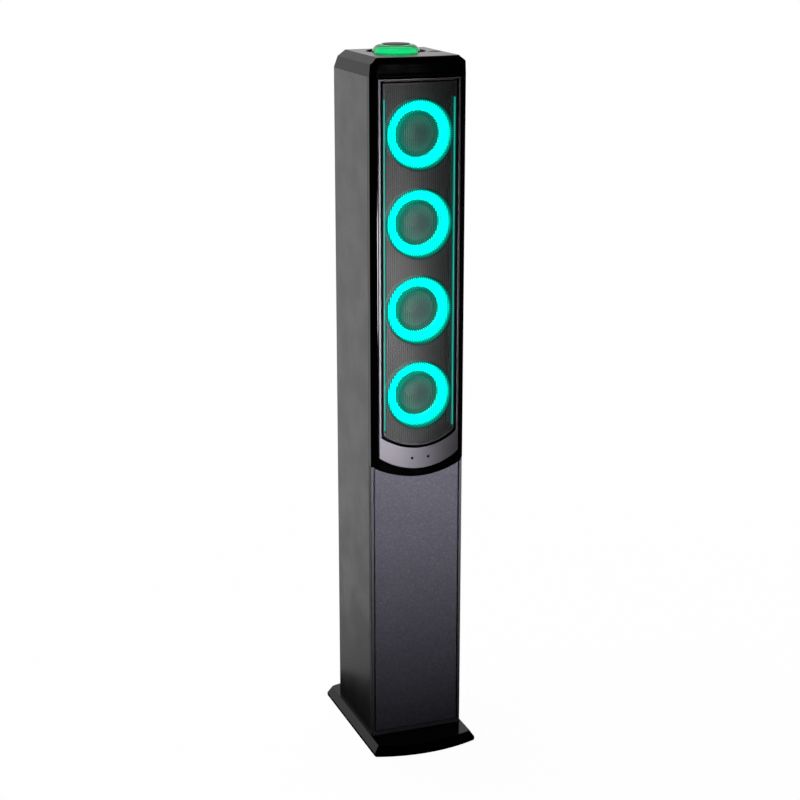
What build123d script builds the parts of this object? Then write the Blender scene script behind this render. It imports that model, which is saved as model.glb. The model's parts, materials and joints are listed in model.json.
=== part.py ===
from build123d import *
import os

# Party speaker: a tower with four ring-lit drivers, in millimetres.
# X is to the right, Y is to the back, Z is up from the floor. The front faces -Y.

# ---- cabinet ----
CABINET_WIDTH = 137.0
CABINET_DEPTH = 143.0
FOOT_HEIGHT, FOOT_SUNK = 0.9, 2.1
BASE_TOP = 16.0
SEAM_Z = 961.0              # where the top cap meets the cabinet
CAP_TOP = 985.5
OVERALL_HEIGHT = 995.5
BOARD = 9.0                 # thickness of the cabinet boards
FRONT_FRAME_DEPTH = 7.5     # how far the front frame wraps along the cabinet side
SEAM = 0.6                  # bevel that leaves a fine line where outer parts meet

HALF_W = CABINET_WIDTH / 2
HALF_D = CABINET_DEPTH / 2
CORNER_Y = -HALF_D
BAFFLE_Y = CORNER_Y + FRONT_FRAME_DEPTH
INNER_X = HALF_W - BOARD
INNER_BACK_Y = HALF_D - BOARD

# ---- base slab ----
BASE_HALF_X, BASE_CORNER_Y, BASE_NOSE_Y = 77.3, 109.5, 123.5
BASE_TOP_HALF_X, BASE_TOP_CORNER_Y, BASE_TOP_NOSE_Y = 70.5, 106.0, 118.5
BASE_EDGE = 4.9             # upright edge under the slope of the slab
BASE_CORNER_R = 4.0

# ---- upper front: bezel, trim frame and grille ----
BEZEL_EDGE_Y = -80.0        # front of the bezel at its sides
BEZEL_EDGE_X = 60.5         # inner end of its sloping outer face
BEVEL = 1.0                 # bevel round the bezel's opening
OPENING_X = BEZEL_EDGE_X - BEVEL - 0.3
CROWN = 5.0                 # how far the middle of the front swells forward
SKIN = 2.5                  # wall of the moulded parts

# Each front outline hangs down in an arc: its height at the middle and at its corners.
BEZEL_LOW, BEZEL_CORNER = 409.7, 426.6
CHIN_LOW, CHIN_CORNER = 420.0, 438.8
GRILLE_LOW, GRILLE_CORNER = 451.0, 469.0
TRIM_FIT = 0.5              # gap between trim frame and bezel
TRIM_TOP = 958.0
TRIM_INNER_X, TRIM_INNER_TOP = 55.3, 955.5
TRIM_EDGE_Y = -79.5
CHIN_HOLE_X, CHIN_HOLE_Z, CHIN_HOLE_R = 12.0, 436.4, 1.3
GRILLE_GAP = 2.0
GRILLE_EDGE_Y = -79.0
GRILLE_SHEET = 1.0
GRILLE_RIM_BACK = -73.5

# ---- ring lights and drivers ----
DRIVER_COUNT = 4
DRIVER_TOP_Z = 883.6
DRIVER_PITCH = 119.3
DRIVER_Z = [DRIVER_TOP_Z - i * DRIVER_PITCH for i in range(DRIVER_COUNT)]
RING_R, RING_INNER_R = 45.6, 31.0
RING_FRONT, RING_BACK = 11.5, 5.0
RING_WALL = 1.6
CUTOUT_R = 34.5             # hole in the baffle behind each driver
FLANGE_R, FLANGE = 38.5, 2.5
DRIVER_SCREW = 25.1         # screw places along X and Z from the driver's centre
COIL_R = 10.1               # outside of the voice coil former
CONE_R, CONE_DEPTH = 24.2, 17.0
DUST_CAP_RISE = 4.2

# ---- light strips beside the rings ----
STRIP_X, STRIP_W = 50.1, 2.2
STRIP_FRONT_Y = -78.0
STRIP_BOTTOM, STRIP_TOP = 477.4, 931.1
BOARD_SHEET = 1.6           # printed circuit boards

# ---- lower front ----
PANEL_HALF_X = 62.7
FRAME_INNER_X = 64.3
PANEL_FRONT_Y = -71.2
PANEL_BOTTOM = 21.0
RAIL_TOP = 20.6
RAIL_FRONT_Y = -74.5

# ---- top cap, dial and button ----
CAP_KNEE_X, CAP_KNEE_Z = 67.5, 977.0
CAP_FLAT_X = 57.6
CAP_BACK_KNEE_Y, CAP_BACK_Y = 58.0, 54.5
CAP_FRONT_ROUND = 9.0
CAP_CREST_Y, CAP_CREST_Z = -70.0, 973.0     # slope at the top of the cap's corner strips
CAP_GROOVE, CAP_GROOVE_END = 0.8, -70.5     # groove between the cap's brow and its corners
CAP_SKIRT_TOP = 965.2       # top of the bevel along the cap's front lower edge
DIAL_Y = 11.0
DIAL_R = 32.5
WELL_R, WELL_FLOOR = 40.5, 983.4
DISC_R, DISC = 19.0, 1.2
CORE_R, CORE_TOP_R, CORE_TOP = 29.8, 21.0, 991.6
SHAFT_TOP = 991.0
SHAFT_R = 3.0
BUTTON_X, BUTTON_Y, BUTTON_R = 46.0, -16.0, 8.0
SLIDE_FIT = 0.15            # clearance round the push buttons

# ---- rear ----
PLATE_HALF_X, PLATE_BOTTOM, PLATE_TOP = 42.0, 60.0, 215.0
PLATE_BACK = HALF_D + 1.5
PLATE_LAP = 5.0
PORT_Z, PORT_R, PORT_WALL = 330.0, 22.0, 2.0
SHELF_Z = 395.0
SWITCH_X, SWITCH_Z = -20.0, 188.0
ROCKER_TILT = 7.0
INLET_X, INLET_Z = 18.0, 188.0
JACK_Z = 95.0
MIC_X, AUX_X, USB_X = -24.0, 0.0, 24.0

FAR = 300.0                 # well outside the object, for cutting solids


# ---- helpers ----
def block(x0, x1, y0, y1, z0, z1):
    """A box between two corners."""
    middle = Pos((x0 + x1) / 2, (y0 + y1) / 2, (z0 + z1) / 2)
    return middle * Box(x1 - x0, y1 - y0, z1 - z0)


def disc(x, y, z0, z1, radius):
    """An upright cylinder."""
    return Pos(x, y, (z0 + z1) / 2) * Cylinder(radius, z1 - z0)


def rod(x, z, y0, y1, radius):
    """A cylinder along Y."""
    return Pos(x, (y0 + y1) / 2, z) * Rot(90, 0, 0) * Cylinder(radius, y1 - y0)


def turned(points):
    """A solid turned about the vertical axis from points of radius and height."""
    return revolve(Plane.XZ * make_face(Polyline(*points, close=True)), Axis.Z)


def rise(face, z0, z1):
    """A plan outline made into an upright solid."""
    return extrude(Pos(0, 0, z0) * face, z1 - z0, dir=(0, 0, 1))


def deepen(face, y0, y1):
    """An outline drawn as seen from the front, made solid between two depths."""
    return extrude(Plane.XZ.offset(-y1) * face, y1 - y0, dir=(0, -1, 0))


def widen(face, half_x):
    """A side profile of Y and Z, made solid across the width."""
    return extrude(Plane.YZ.offset(-half_x) * face, 2 * half_x, dir=(1, 0, 0))


def outline(half_x, low, corner, top, rounding=0.0):
    """A front outline: straight sides and top, and an arc hanging at the bottom."""
    edges = [
        Line((-half_x, corner), (-half_x, top)),
        Line((-half_x, top), (half_x, top)),
        Line((half_x, top), (half_x, corner)),
        ThreePointArc((half_x, corner), (0, low), (-half_x, corner)),
    ]
    face = make_face(edges)
    if rounding:
        face = fillet(face.vertices().sort_by(Axis.Y)[:2], rounding)
    return face


def above_arc(half_chord, low, corner, y0, y1):
    """All that lies above a hanging arc, between two depths."""
    sag = corner - low
    radius = (half_chord ** 2 + sag ** 2) / (2 * sag)
    centre_z = low + radius
    upper = block(-FAR, FAR, y0, y1, centre_z, centre_z + 4 * FAR)
    return rod(0, centre_z, y0, y1, radius) + upper


def lens(half_x, corner_y, nose_y):
    """A plan outline with straight sides and arched front and back."""
    edges = [
        Line((-half_x, corner_y), (-half_x, -corner_y)),
        ThreePointArc((-half_x, -corner_y), (0, -nose_y), (half_x, -corner_y)),
        Line((half_x, -corner_y), (half_x, corner_y)),
        ThreePointArc((half_x, corner_y), (0, nose_y), (-half_x, corner_y)),
    ]
    face = make_face(edges)
    return fillet(face.vertices(), BASE_CORNER_R)


def crowned(half_x, edge_y, back_y):
    """A plan outline whose front swells forward between its two sides."""
    edges = [
        Line((-half_x, back_y), (-half_x, edge_y)),
        ThreePointArc((-half_x, edge_y), (0, edge_y - CROWN), (half_x, edge_y)),
        Line((half_x, edge_y), (half_x, back_y)),
        Line((half_x, back_y), (-half_x, back_y)),
    ]
    return make_face(edges)


def front_section(back_y):
    """The plan outline of the bezel: sloping corners and a crowned front."""
    edges = [
        Line((-HALF_W, back_y), (-HALF_W, CORNER_Y)),
        Line((-HALF_W, CORNER_Y), (-BEZEL_EDGE_X, BEZEL_EDGE_Y)),
        ThreePointArc((-BEZEL_EDGE_X, BEZEL_EDGE_Y), (0, BEZEL_EDGE_Y - CROWN),
                      (BEZEL_EDGE_X, BEZEL_EDGE_Y)),
        Line((BEZEL_EDGE_X, BEZEL_EDGE_Y), (HALF_W, CORNER_Y)),
        Line((HALF_W, CORNER_Y), (HALF_W, back_y)),
        Line((HALF_W, back_y), (-HALF_W, back_y)),
    ]
    return make_face(edges)


def front_edges(shape, limit_y):
    """The edges that lie wholly in front of a depth."""
    return [e for e in shape.edges() if e.bounding_box().max.Y < limit_y]


def screw(head_r, head_h, shank_r, length):
    """A pan-head screw standing on its head's underside, its shank pointing down."""
    head = disc(0, 0, 0, head_h, head_r)
    head = chamfer(head.edges().group_by(Axis.Z)[-1], head_h * 0.35)
    for turn in (0, 90):
        head -= Pos(0, 0, head_h) * Rot(0, 0, turn) * Box(head_r * 1.2, 0.8, head_h)
    return head + disc(0, 0, -length, 0, shank_r)


nodes = {}


def keep(name, *shapes):
    """File a node's solids under its name."""
    solids = [s for shape in shapes for s in shape.solids()]
    node = solids[0] if len(solids) == 1 else Compound(children=solids)
    node.label = name
    nodes[name] = node


# ---- base ----
BASE_SCREWS = [(sx * 45.0, sy * 45.0) for sx in (-1, 1) for sy in (-1, 1)]
FEET = [(sx * 58.0, sy * 90.0) for sx in (-1, 1) for sy in (-1, 1)]
SCREW_SEAT = FOOT_HEIGHT + 4.7
BASE_SCREW_LENGTH = 17.0


def make_base():
    edge_top = FOOT_HEIGHT + BASE_EDGE
    low = lens(BASE_HALF_X, BASE_CORNER_Y, BASE_NOSE_Y)
    high = lens(BASE_TOP_HALF_X, BASE_TOP_CORNER_Y, BASE_TOP_NOSE_Y)
    plate = rise(low, FOOT_HEIGHT, edge_top)
    plate = chamfer(plate.edges().group_by(Axis.Z)[0], 0.9)
    plate += loft([Pos(0, 0, edge_top) * low, Pos(0, 0, BASE_TOP) * high])
    board = block(-INNER_X, INNER_X, BAFFLE_Y, INNER_BACK_Y, BASE_TOP, BASE_TOP + BOARD)
    screws = []
    for x, y in BASE_SCREWS:
        plate -= disc(x, y, 0, SCREW_SEAT, 4.4)
        plate -= disc(x, y, 0, BASE_TOP + 1, 2.0)
        board -= disc(x, y, 0, SCREW_SEAT + BASE_SCREW_LENGTH, 2.0)
        turned_over = Pos(x, y, SCREW_SEAT) * Rot(180, 0, 0)
        screws.append(turned_over * screw(4.2, 2.2, 2.0, BASE_SCREW_LENGTH))
    feet = []
    for x, y in FEET:
        foot = disc(x, y, 0, FOOT_HEIGHT + FOOT_SUNK, 9.0)
        feet.append(chamfer(foot.edges().group_by(Axis.Z)[0], 0.6))
        plate -= disc(x, y, 0, FOOT_HEIGHT + FOOT_SUNK, 9.0)
    keep("base_plate", plate)
    keep("rubber_feet", *feet)
    keep("base_screws", *screws)
    keep("bottom_board", board)


# ---- cabinet boards ----
PLATE_SCREWS = [(sx * 38.0, z) for sx in (-1, 1) for z in (PLATE_BOTTOM + 4, PLATE_TOP - 4)]
LOOM_X, LOOM_R = 40.0, 3.0


def side_panel(sign):
    x0, x1 = sorted((sign * INNER_X, sign * HALF_W))
    panel = block(x0, x1, BAFFLE_Y, HALF_D, BASE_TOP, SEAM_Z)
    outer = [e for e in panel.edges() if abs(e.center().X) > HALF_W - 0.1]
    seams = [e for e in outer if e.center().Y < BAFFLE_Y + 0.1 or e.center().Z > SEAM_Z - 0.1]
    return chamfer(seams, SEAM)


def make_cabinet():
    keep("side_panel_left", side_panel(-1))
    keep("side_panel_right", side_panel(1))

    rear = block(-INNER_X, INNER_X, INNER_BACK_Y, HALF_D, BASE_TOP, SEAM_Z)
    rear -= block(-PLATE_HALF_X + PLATE_LAP, PLATE_HALF_X - PLATE_LAP, 0, FAR,
                  PLATE_BOTTOM + PLATE_LAP + 4, PLATE_TOP - PLATE_LAP - 4)
    rear -= rod(0, PORT_Z, 0, FAR, PORT_R + PORT_WALL)
    for x, z in PLATE_SCREWS:
        rear -= rod(x, z, 0, FAR, 1.5)
    keep("rear_panel", rear)

    top = block(-INNER_X, INNER_X, BAFFLE_Y, INNER_BACK_Y, SEAM_Z - BOARD, SEAM_Z)
    top -= disc(0, DIAL_Y, 0, FAR * 4, 12.0)
    top -= disc(LOOM_X, INNER_BACK_Y - LOOM_R, 0, FAR * 4, LOOM_R + 1)
    keep("top_board", top)

    shelf = block(-INNER_X, INNER_X, BAFFLE_Y + BOARD, INNER_BACK_Y, SHELF_Z, SHELF_Z + BOARD)
    shelf -= disc(0, 0, 0, FAR * 4, 32.0)
    shelf -= disc(LOOM_X, INNER_BACK_Y - LOOM_R, 0, FAR * 4, LOOM_R + 1)
    keep("brace_shelf", shelf)

    baffle = block(-INNER_X, INNER_X, BAFFLE_Y, BAFFLE_Y + BOARD,
                   BASE_TOP + BOARD, SEAM_Z - BOARD)
    for z in DRIVER_Z:
        baffle -= rod(0, z, -FAR, FAR, CUTOUT_R)
        for sx in (-1, 1):
            for sz in (-1, 1):
                baffle -= rod(sx * DRIVER_SCREW, z + sz * DRIVER_SCREW, -FAR, FAR, 1.5)
    keep("front_baffle", baffle)


# ---- upper front ----
def make_upper_front():
    column = rise(front_section(BAFFLE_Y), BEZEL_LOW - 5, SEAM_Z)
    bezel = column & above_arc(HALF_W, BEZEL_LOW, BEZEL_CORNER, -100, BAFFLE_Y)
    opening = outline(OPENING_X, CHIN_LOW, CHIN_CORNER, SEAM_Z + 1, 4.0)
    bezel -= deepen(opening, -FAR, FAR)
    rim = [e for e in front_edges(bezel, BEZEL_EDGE_Y + 1)
           if abs(e.center().X) < OPENING_X + 0.1 and e.center().Z < SEAM_Z - 1
           and e.bounding_box().min.Z > CHIN_LOW - 1]
    bezel = chamfer(rim, BEVEL)
    keep("front_bezel", bezel)

    outer = outline(OPENING_X - TRIM_FIT, CHIN_LOW + TRIM_FIT, CHIN_CORNER + TRIM_FIT,
                    TRIM_TOP, 3.5)
    inner = outline(TRIM_INNER_X, GRILLE_LOW, GRILLE_CORNER, TRIM_INNER_TOP, 3.0)
    trim = deepen(outer, -FAR, BAFFLE_Y)
    trim &= rise(crowned(OPENING_X, TRIM_EDGE_Y, 0), 0, FAR * 4)
    trim -= deepen(inner, -FAR, FAR)
    trim = fillet(front_edges(trim, TRIM_EDGE_Y + 1), 0.7)
    # The chin is hollow behind its skin, and has two small holes.
    hollow = outline(TRIM_INNER_X - 1, CHIN_LOW + 3, CHIN_CORNER + 3, CHIN_CORNER + 60)
    hollow = deepen(hollow, TRIM_EDGE_Y + SKIN, FAR)
    hollow -= deepen(outline(INNER_X + 5, GRILLE_LOW - 3, GRILLE_CORNER - 1, FAR * 4), -FAR, FAR)
    trim -= hollow
    for sign in (-1, 1):
        trim -= rod(sign * CHIN_HOLE_X, CHIN_HOLE_Z, -FAR, BAFFLE_Y - 4, CHIN_HOLE_R)
    keep("trim_frame", trim)

    half_x = TRIM_INNER_X - GRILLE_GAP
    low, corner = GRILLE_LOW + GRILLE_GAP, GRILLE_CORNER + GRILLE_GAP
    top = TRIM_INNER_TOP - GRILLE_GAP
    sheet = rise(crowned(half_x, GRILLE_EDGE_Y, GRILLE_RIM_BACK), 0, FAR * 4)
    pan = deepen(outline(half_x, low, corner, top, 2.0), -FAR, FAR) & sheet
    inside = outline(half_x - GRILLE_SHEET, low + GRILLE_SHEET, corner + GRILLE_SHEET,
                     top - GRILLE_SHEET, 1.5)
    behind = rise(crowned(half_x, GRILLE_EDGE_Y + GRILLE_SHEET, 0), 0, FAR * 4)
    keep("grille", pan - (deepen(inside, -FAR, FAR) & behind))


# ---- lower front ----
def make_lower_front():
    clear = above_arc(HALF_W, BEZEL_LOW, BEZEL_CORNER, -FAR, FAR)
    frame = block(-HALF_W, HALF_W, CORNER_Y, BAFFLE_Y, BASE_TOP, BEZEL_CORNER + 1)
    frame -= block(-FRAME_INNER_X, FRAME_INNER_X, -FAR, FAR, RAIL_TOP, FAR * 2)
    corners = [e for e in frame.edges().filter_by(Axis.Z)
               if abs(e.center().X) > HALF_W - 0.1 and e.center().Y < CORNER_Y + 0.1]
    frame = fillet(corners, 1.2)
    rail = [(CORNER_Y, BASE_TOP), (RAIL_FRONT_Y, BASE_TOP), (RAIL_FRONT_Y, BASE_TOP + 1.2),
            (CORNER_Y, RAIL_TOP)]
    frame += widen(make_face(Polyline(*rail, close=True)), HALF_W - 1.2)
    keep("lower_front_frame", frame - clear)

    panel = block(-PANEL_HALF_X, PANEL_HALF_X, PANEL_FRONT_Y, BAFFLE_Y,
                  PANEL_BOTTOM, BEZEL_CORNER)
    edges = [e for e in panel.edges() if e.center().Y < PANEL_FRONT_Y + 0.1
             and e.center().Z < BEZEL_CORNER - 1]
    keep("lower_front_panel", fillet(edges, 0.8) - clear)


# ---- lights ----
def make_lights():
    diffuser = turned([(RING_R - RING_WALL, 0), (RING_R, 0), (RING_R, RING_FRONT),
                       (RING_INNER_R, RING_BACK), (RING_INNER_R, RING_BACK - RING_WALL),
                       (RING_R - RING_WALL, RING_FRONT - 2.6)])
    led = Box(2.0, 2.0, 1.0)
    board = turned([(38.8, 0), (43.0, 0), (43.0, BOARD_SHEET), (38.8, BOARD_SHEET)])
    for i in range(24):
        board += Rot(0, 0, i * 15) * Pos(40.9, 0, BOARD_SHEET + 0.5) * led
    boards = []
    for i, z in enumerate(DRIVER_Z, 1):
        keep(f"ring_diffuser_{i}", at_driver(diffuser, z))
        boards.append(at_driver(board, z))
    for side, sign in (("left", -1), ("right", 1)):
        x0, x1 = sign * STRIP_X - STRIP_W / 2, sign * STRIP_X + STRIP_W / 2
        board_front = BAFFLE_Y - BOARD_SHEET
        boards.append(block(x0 - 0.8, x1 + 0.8, board_front, BAFFLE_Y, STRIP_BOTTOM, STRIP_TOP))
        strip = block(x0, x1, STRIP_FRONT_Y, board_front, STRIP_BOTTOM, STRIP_TOP)
        front = [e for e in strip.edges() if e.center().Y < STRIP_FRONT_Y + 0.1]
        keep(f"light_strip_{side}", fillet(front, 0.6))
    keep("led_boards", *boards)


# ---- drivers ----
def at_driver(shape, z):
    """Aim a turned solid at the front, its zero on the baffle's face."""
    return Pos(0, BAFFLE_Y, z) * Rot(90, 0, 0) * shape


def make_drivers():
    basket = turned([(31.5, 0), (FLANGE_R, 0), (FLANGE_R, FLANGE), (31.5, FLANGE)])
    basket += turned([(31.5, 0), (33.5, 0), (33.5, -6), (26, -25), (26, -28), (12, -28),
                      (12, -26.2), (24, -26.2), (24, -25), (31.5, -6)])
    for i in range(6):
        window = Rot(0, 0, i * 60 + 30) * Pos(29, 0, -15.5) * Box(14, 14, 11)
        basket -= window
    magnet = turned([(COIL_R + 0.9, -28), (24, -28), (24, -31), (26.5, -31), (26.5, -43),
                     (24, -43), (24, -46), (0, -46), (0, -28), (9.0, -28), (9.0, -42),
                     (COIL_R + 0.9, -42)])
    former = turned([(COIL_R - 0.5, -38), (COIL_R, -38), (COIL_R, -CONE_DEPTH),
                     (COIL_R - 0.5, -CONE_DEPTH)])
    cone = former + turned([(COIL_R, -CONE_DEPTH), (CONE_R, 0), (CONE_R, 1.0), (CONE_R - 1, 1.0),
                            (COIL_R - 0.5, -CONE_DEPTH + 0.9), (COIL_R - 0.5, -CONE_DEPTH)])
    # The dust cap is a slice of a hollow ball, and sits on the cone's neck.
    cap_base = -CONE_DEPTH + 0.9
    cap_r = COIL_R - 0.5
    ball_r = (cap_r ** 2 + DUST_CAP_RISE ** 2) / (2 * DUST_CAP_RISE)
    ball = Pos(0, 0, cap_base + DUST_CAP_RISE - ball_r) * (Sphere(ball_r) - Sphere(ball_r - 0.7))
    dust_cap = ball & disc(0, 0, cap_base, cap_base + DUST_CAP_RISE + 1, cap_r)
    # A half roll of rubber between the cone and the basket, clear of the moving cone.
    roll = make_face([
        Line((CONE_R + 0.3, 0.4), (CONE_R + 0.3, 1.2)),
        ThreePointArc((CONE_R + 0.3, 1.2), (27.9, 3.9), (31.5, 1.2)),
        Line((31.5, 1.2), (31.5, 0.4)),
        ThreePointArc((31.5, 0.4), (27.9, 3.1), (CONE_R + 0.3, 0.4)),
    ])
    surround = revolve(Plane.XZ * roll, Axis.Z)
    spider = turned([(COIL_R + 0.3, -23.2), (14, -22.4), (18, -24), (22, -22.4), (24.2, -23.4),
                     (24.2, -24.0), (22, -23.0), (18, -24.6), (14, -23.0),
                     (COIL_R + 0.3, -23.8)])
    fastener = screw(2.6, 1.6, 1.5, FLANGE + 8)
    for sx in (-1, 1):
        for sy in (-1, 1):
            basket -= disc(sx * DRIVER_SCREW, sy * DRIVER_SCREW, -1, FLANGE + 1, 1.5)
    surrounds, spiders, screws = [], [], []
    for i, z in enumerate(DRIVER_Z, 1):
        keep(f"driver_basket_{i}", at_driver(basket, z))
        keep(f"driver_magnet_{i}", at_driver(magnet, z))
        keep(f"driver_cone_{i}", at_driver(cone, z))
        keep(f"dust_cap_{i}", at_driver(dust_cap, z))
        surrounds.append(at_driver(surround, z))
        spiders.append(at_driver(spider, z))
        for sx in (-1, 1):
            for sy in (-1, 1):
                place = Pos(sx * DRIVER_SCREW, sy * DRIVER_SCREW, FLANGE)
                screws.append(at_driver(place * fastener, z))
    keep("driver_surrounds", *surrounds)
    keep("driver_spiders", *spiders)
    keep("driver_screws", *screws)


# ---- top ----
BUTTON_TRAVEL = 0.8
CONTROL_Z = 966.0           # underside of the control board


def cap_shell():
    """The outside of the cap: faceted sides, sloping back, rounded crowned front."""
    facets = [(-HALF_W, SEAM_Z), (-CAP_KNEE_X, CAP_KNEE_Z), (-CAP_FLAT_X, CAP_TOP),
              (CAP_FLAT_X, CAP_TOP), (CAP_KNEE_X, CAP_KNEE_Z), (HALF_W, SEAM_Z)]
    facets = deepen(make_face(Polyline(*facets, close=True)), -FAR, FAR)
    slope = [(-FAR, SEAM_Z), (HALF_D, SEAM_Z), (CAP_BACK_KNEE_Y, CAP_KNEE_Z),
             (CAP_BACK_Y, CAP_TOP), (-FAR, CAP_TOP)]
    slope = widen(make_face(Polyline(*slope, close=True)), FAR)

    middle = rise(crowned(OPENING_X - CAP_GROOVE, BEZEL_EDGE_Y + BEVEL, 0), SEAM_Z, CAP_TOP)
    brow = [e for e in middle.edges().group_by(Axis.Z)[-1] if e.center().Y < -OPENING_X]
    middle = fillet(brow, CAP_FRONT_ROUND)
    middle += block(-OPENING_X, OPENING_X, CAP_GROOVE_END, HALF_D, SEAM_Z, CAP_TOP)
    skirt = rise(crowned(OPENING_X, BEZEL_EDGE_Y, 0), SEAM_Z, CAP_SKIRT_TOP)
    lip = [e for e in skirt.edges().group_by(Axis.Z)[-1] if e.center().Y < -OPENING_X]
    skirt = chamfer(lip, CAP_SKIRT_TOP - SEAM_Z - 1, BEVEL)

    strips = rise(front_section(HALF_D), SEAM_Z, CAP_TOP)
    strips -= block(-OPENING_X, OPENING_X, -FAR, FAR, 0, FAR * 4)
    crest = [(BEZEL_EDGE_Y - 1, SEAM_Z), (FAR, SEAM_Z), (FAR, CAP_TOP),
             (CAP_CREST_Y, CAP_TOP), (BEZEL_EDGE_Y - 1, CAP_CREST_Z)]
    strips &= widen(make_face(Polyline(*crest, close=True)), FAR)
    return (middle + skirt + strips) & facets & slope


def make_top():
    cap = cap_shell()
    cap -= block(-HALF_W + SKIN + 1, HALF_W - SKIN - 1, CORNER_Y + SKIN, CAP_BACK_KNEE_Y - SKIN,
                 SEAM_Z, CAP_KNEE_Z - 1)
    cap -= block(-CAP_FLAT_X + 3, CAP_FLAT_X - 3, -62, CAP_BACK_Y - SKIN - 1,
                 SEAM_Z, WELL_FLOOR - 2.6)
    well = disc(0, DIAL_Y, WELL_FLOOR, CAP_TOP + 1, WELL_R)
    cap -= well
    rim = [e for e in cap.edges().group_by(Axis.Z)[-1]
           if e.geom_type == GeomType.CIRCLE and abs(e.radius - WELL_R) < 0.1]
    cap = chamfer(rim, 0.9)
    cap -= disc(0, DIAL_Y, SEAM_Z, FAR * 4, SHAFT_R + 1.2)
    cap -= disc(BUTTON_X, BUTTON_Y, SEAM_Z, FAR * 4, BUTTON_R + SLIDE_FIT)
    keep("top_cap", cap)

    board_top = CONTROL_Z + BOARD_SHEET
    board = block(-50, 54, -40, 46, CONTROL_Z, board_top)
    for x, y in ((-46, -36), (-46, 42), (50, -36), (50, 42)):
        board += disc(x, y, SEAM_Z, CONTROL_Z, 3.0)
    board += block(-7, 7, DIAL_Y - 7, DIAL_Y + 7, board_top, board_top + 7)
    board -= disc(0, DIAL_Y, CONTROL_Z + 1, FAR * 4, SHAFT_R + 0.05)
    board += block(BUTTON_X - 3, BUTTON_X + 3, BUTTON_Y - 3, BUTTON_Y + 3,
                   board_top, board_top + 4)
    keep("control_board", board)

    shaft = disc(0, DIAL_Y, CONTROL_Z + 1.2, SHAFT_TOP, SHAFT_R)
    keep("dial_shaft", shaft)

    core = turned([(SHAFT_R + 2, WELL_FLOOR), (CORE_R, WELL_FLOOR), (CORE_R, WELL_FLOOR + 1.0),
                   (CORE_TOP_R, CORE_TOP), (CORE_TOP_R - 1.4, CORE_TOP),
                   (CORE_R - 1.6, WELL_FLOOR + 1.2), (SHAFT_R + 2, WELL_FLOOR + 1.2)])
    keep("dial_light_core", Pos(0, DIAL_Y, 0) * core)

    outer_top, skin = OVERALL_HEIGHT - 0.9, 1.2
    seat = OVERALL_HEIGHT - DISC - BUTTON_TRAVEL - 0.3
    shoulder = outer_top - 3.2
    outer = [Line((DIAL_R, WELL_FLOOR + 0.5), (DIAL_R, WELL_FLOOR + 2.6)),
             ThreePointArc((DIAL_R, WELL_FLOOR + 2.6), (DIAL_R - 3.6, shoulder),
                           (DISC_R + 1.6, outer_top)),
             Line((DISC_R + 1.6, outer_top), (DISC_R + SLIDE_FIT, outer_top)),
             Line((DISC_R + SLIDE_FIT, outer_top), (DISC_R + SLIDE_FIT, seat)),
             Line((DISC_R + SLIDE_FIT, seat), (0, seat)),
             Line((0, seat), (0, SHAFT_TOP)),
             Line((0, SHAFT_TOP), (SHAFT_R + 2.5, SHAFT_TOP)),
             Line((SHAFT_R + 2.5, SHAFT_TOP), (SHAFT_R + 2.5, seat - skin)),
             Line((SHAFT_R + 2.5, seat - skin), (DISC_R, seat - skin)),
             ThreePointArc((DISC_R, seat - skin), (DIAL_R - 4.4, shoulder - 1.4),
                           (DIAL_R - skin, WELL_FLOOR + 2.4)),
             Line((DIAL_R - skin, WELL_FLOOR + 2.4), (DIAL_R - skin, WELL_FLOOR + 0.5)),
             Line((DIAL_R - skin, WELL_FLOOR + 0.5), (DIAL_R, WELL_FLOOR + 0.5))]
    shell = revolve(Plane.XZ * make_face(outer), Axis.Z)
    keep("dial_shell", Pos(0, DIAL_Y, 0) * shell)

    cover = disc(0, DIAL_Y, OVERALL_HEIGHT - DISC, OVERALL_HEIGHT, DISC_R)
    keep("dial_button", chamfer(cover.edges().group_by(Axis.Z)[-1], 0.4))

    button = disc(BUTTON_X, BUTTON_Y, board_top + 4 + BUTTON_TRAVEL + 0.1, CAP_TOP - 0.1, BUTTON_R)
    button = chamfer(button.edges().group_by(Axis.Z)[-1], 0.4)
    dish_r = 60.0
    dish = Pos(BUTTON_X, BUTTON_Y, CAP_TOP + dish_r - 0.9) * Sphere(dish_r)
    keep("top_button", button - dish)


# ---- rear ----
def capsule(x, z, half_x, half_z, y0, y1):
    """A block with round ends, seen from the back."""
    ends = [rod(x + sign * (half_x - half_z), z, y0, y1, half_z) for sign in (-1, 1)]
    middle = block(x - half_x + half_z, x + half_x - half_z, y0, y1, z - half_z, z + half_z)
    return ends[0] + middle + ends[1]


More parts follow.
